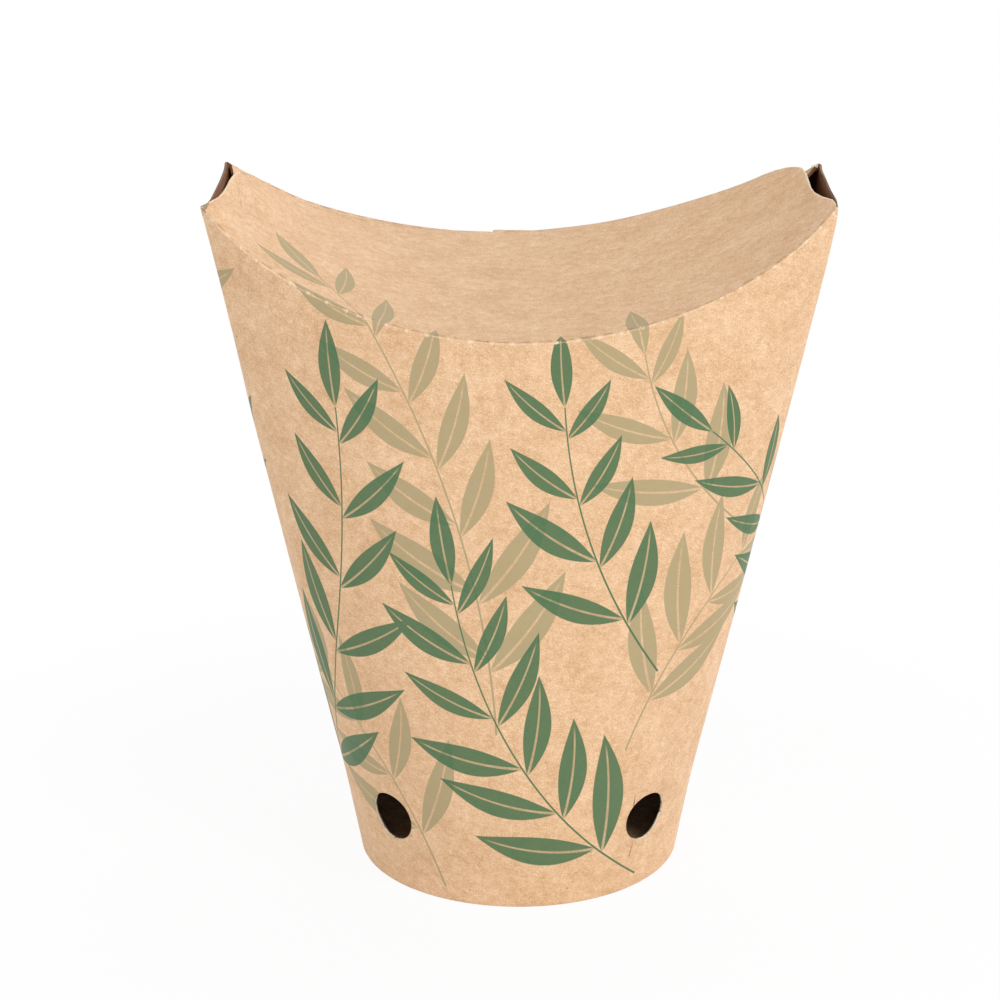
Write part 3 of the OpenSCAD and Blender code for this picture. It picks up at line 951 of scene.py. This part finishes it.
def add_bump(tree, shader, height):
    bump = add_node(tree, "Bump")
    bump.inputs["Strength"].default_value = GRAIN_STRENGTH
    bump.inputs["Distance"].default_value = GRAIN_DEPTH
    plug(tree, bump.inputs["Height"], height)
    tree.links.new(bump.outputs["Normal"], shader.inputs["Normal"])


# The board's outer face: kraft, two inks over it, and both worn off along the folds
def printed_board(kraft, leaf, stem, fold):
    material, tree, shader = new_material("printed_board", 0.6, 0.5)
    where = attribute(tree, "blank")
    board = use_group(tree, kraft, Place=where)
    color = board["Color"]
    wear = use_group(tree, fold, Fold=attribute(tree, "fold"), Place=where)
    kept = sums(tree, "SUBTRACT", 1, sums(tree, "MULTIPLY", wear["Torn"], 0.85))
    mottle = ramp(tree, board["Shade"], -0.5, 0.5, 0.92, 1.0)
    for tone, ink, amount in (("pale", INK_PALE, 0.88), ("dark", INK_DARK, 0.97)):
        near = use_group(tree, leaf, Leaf=attribute(tree, tone + "_leaf"))["Ink"]
        behind = use_group(tree, leaf, Leaf=attribute(tree, tone + "_leaf_behind"))["Ink"]
        twig = use_group(tree, stem, Stem=attribute(tree, tone + "_stem"))["Ink"]
        mask = sums(tree, "MAXIMUM", sums(tree, "MAXIMUM", near, behind), twig)
        mask = sums(tree, "MULTIPLY", mask, kept)
        mask = sums(tree, "MULTIPLY", mask, sums(tree, "MULTIPLY", mottle, amount))
        color = blend(tree, mask, color, ink)
    color = blend(tree, sums(tree, "MULTIPLY", wear["Cut"], 0.8), color, KRAFT_CUT)
    color = blend(tree, sums(tree, "MULTIPLY", wear["Torn"], 0.75), color, KRAFT_TORN)
    tree.links.new(color, shader.inputs["Base Color"])
    add_bump(tree, shader, sums(tree, "SUBTRACT", board["Height"], wear["Cut"]))
    return material


# Unprinted board in three tones, its fibres on the flat board or else on the piece's own places
def plain_board(name, kraft, tones, roughness, attribute_name=None):
    material, tree, shader = new_material(name, roughness, 0.3)
    if attribute_name:
        where = attribute(tree, attribute_name)
    else:
        where = stretch(tree, add_node(tree, "TexCoord").outputs["Object"], (1 / MM, 1 / MM, 1 / MM))
    dark, middle, pale = tones
    board = use_group(tree, kraft, Place=where, Dark=dark, Middle=middle, Pale=pale)
    tree.links.new(board["Color"], shader.inputs["Base Color"])
    add_bump(tree, shader, board["Height"])
    return material


# 1 for the rays that see the white background, 0 for those that carry light to the cup
def rays(tree):
    path = add_node(tree, "LightPath")
    seen = sums(tree, "MAXIMUM", path.outputs["Is Camera Ray"], path.outputs["Is Glossy Ray"])
    return sums(tree, "MAXIMUM", seen, path.outputs["Is Transmission Ray"])


# A pale floor that turns white away from the cup's shadow
def floor():
    bpy.ops.mesh.primitive_circle_add(vertices=96, radius=FLOOR_R, fill_type="NGON")
    obj = bpy.context.object
    obj.name = "floor"
    bpy.ops.object.mode_set(mode="EDIT")
    bpy.ops.mesh.inset(thickness=FLOOR_INSET)
    bpy.ops.object.mode_set(mode="OBJECT")
    material, tree, shader = new_material("pale_floor", 0.9, 0.1)
    shader.inputs["Base Color"].default_value = (0.9, 0.9, 0.9, 1)
    white = add_node(tree, "Emission")
    white.inputs["Color"].default_value = (1, 1, 1, 1)
    mix = add_node(tree, "MixShader")
    away = add_node(tree, "VectorMath", operation="LENGTH")
    plug(tree, away.inputs[0], add_node(tree, "TexCoord").outputs["Object"])
    share = ramp(tree, away.outputs["Value"], SHADOW_R, SHADOW_END, SHADOW_LIFT, 1)
    plug(tree, mix.inputs[0], sums(tree, "MULTIPLY", rays(tree), share))
    plug(tree, mix.inputs[1], shader.outputs[0])
    plug(tree, mix.inputs[2], white.outputs[0])
    plug(tree, tree.nodes["Material Output"].inputs["Surface"], mix.outputs[0])
    obj.data.materials.append(material)


def lamp(name, at, size, power):
    bpy.ops.object.light_add(type="AREA", location=at)
    obj = bpy.context.object
    obj.name = name
    obj.rotation_euler = (Vector(LAMP_AIM) - Vector(at)).to_track_quat("-Z", "Y").to_euler()
    obj.data.shape = "DISK"
    obj.data.size = size
    obj.data.energy = power


def camera():
    bpy.ops.object.camera_add(location=CAMERA_AT, rotation=(CAMERA_TILT, 0, 0))
    obj = bpy.context.object
    obj.data.lens = LENS
    obj.data.sensor_width = SENSOR
    obj.data.shift_x = SHIFT_X
    obj.data.shift_y = SHIFT_Y
    bpy.context.scene.camera = obj


# White to the camera, and a soft even light to the cup
def world():
    studio = bpy.context.scene.world or bpy.data.worlds.new("studio")
    bpy.context.scene.world = studio
    studio.use_nodes = True
    tree = studio.node_tree
    tree.nodes.clear()
    mix = add_node(tree, "MixShader")
    plug(tree, mix.inputs[0], rays(tree))
    for socket, strength in zip(mix.inputs[1:], (WORLD_SOFT, 1)):
        sky = add_node(tree, "Background")
        sky.inputs["Color"].default_value = (1, 1, 1, 1)
        sky.inputs["Strength"].default_value = strength
        plug(tree, socket, sky.outputs[0])
    plug(tree, add_node(tree, "OutputWorld").inputs["Surface"], mix.outputs[0])


bpy.context.scene.view_settings.view_transform = "Standard"
camera()
floor()
world()
for name, at, size, power in LAMPS:
    lamp(name, at, size, power)

sheet, creases = make_sheet()
mesh = sheet.data
skin = skin_of(sheet)
points, starts, owner = corner_data(mesh)
middles = numbers(mesh.polygons, "center", 3) / MM
blank = blank_of(points, owner, skin, middles, creases)
add_attribute(mesh, "blank", blank)
fold = np.column_stack((fold_of(points, owner, skin, creases), rim_of(points, owner, skin)))
add_attribute(mesh, "fold", fold)
print_sprigs(mesh, blank, starts, owner)
shape_sheet(mesh, points, owner, skin, fold)

kraft = kraft_fibre_group()
mesh.materials.append(printed_board(kraft, leaf_group(), stem_group(), fold_group()))
# The inner faces, their kraft brown darkened as painted shade
mesh.materials.append(plain_board("shaded_board_lining", kraft, SHADED_LINING_TONES, 0.7, "blank"))
mesh.materials.append(plain_board("cut_board_edge", kraft, EDGE_TONES, 0.85))
# Side wall tops, in painted shade
mesh.materials.append(plain_board("shaded_side_rim", kraft, SHADED_RIM_TONES, 0.85))
# Folded corner webs, painted light
mesh.materials.append(plain_board("folded_corner_painted_lit", kraft, LIT_CORNER_TONES, 0.6))
mesh.polygons.foreach_set("material_index", material_places(skin, middles))
only(sheet)
bpy.ops.object.shade_smooth_by_angle(angle=SMOOTH_ANGLE)
soften_wall(mesh, skin, owner)
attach(sheet, "root")
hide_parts("cup_wall")

base = frame["nodes"]["base_disc"]
base.data.materials.clear()
base.data.materials.append(plain_board("base_board", kraft, BASE_TONES, 0.75))
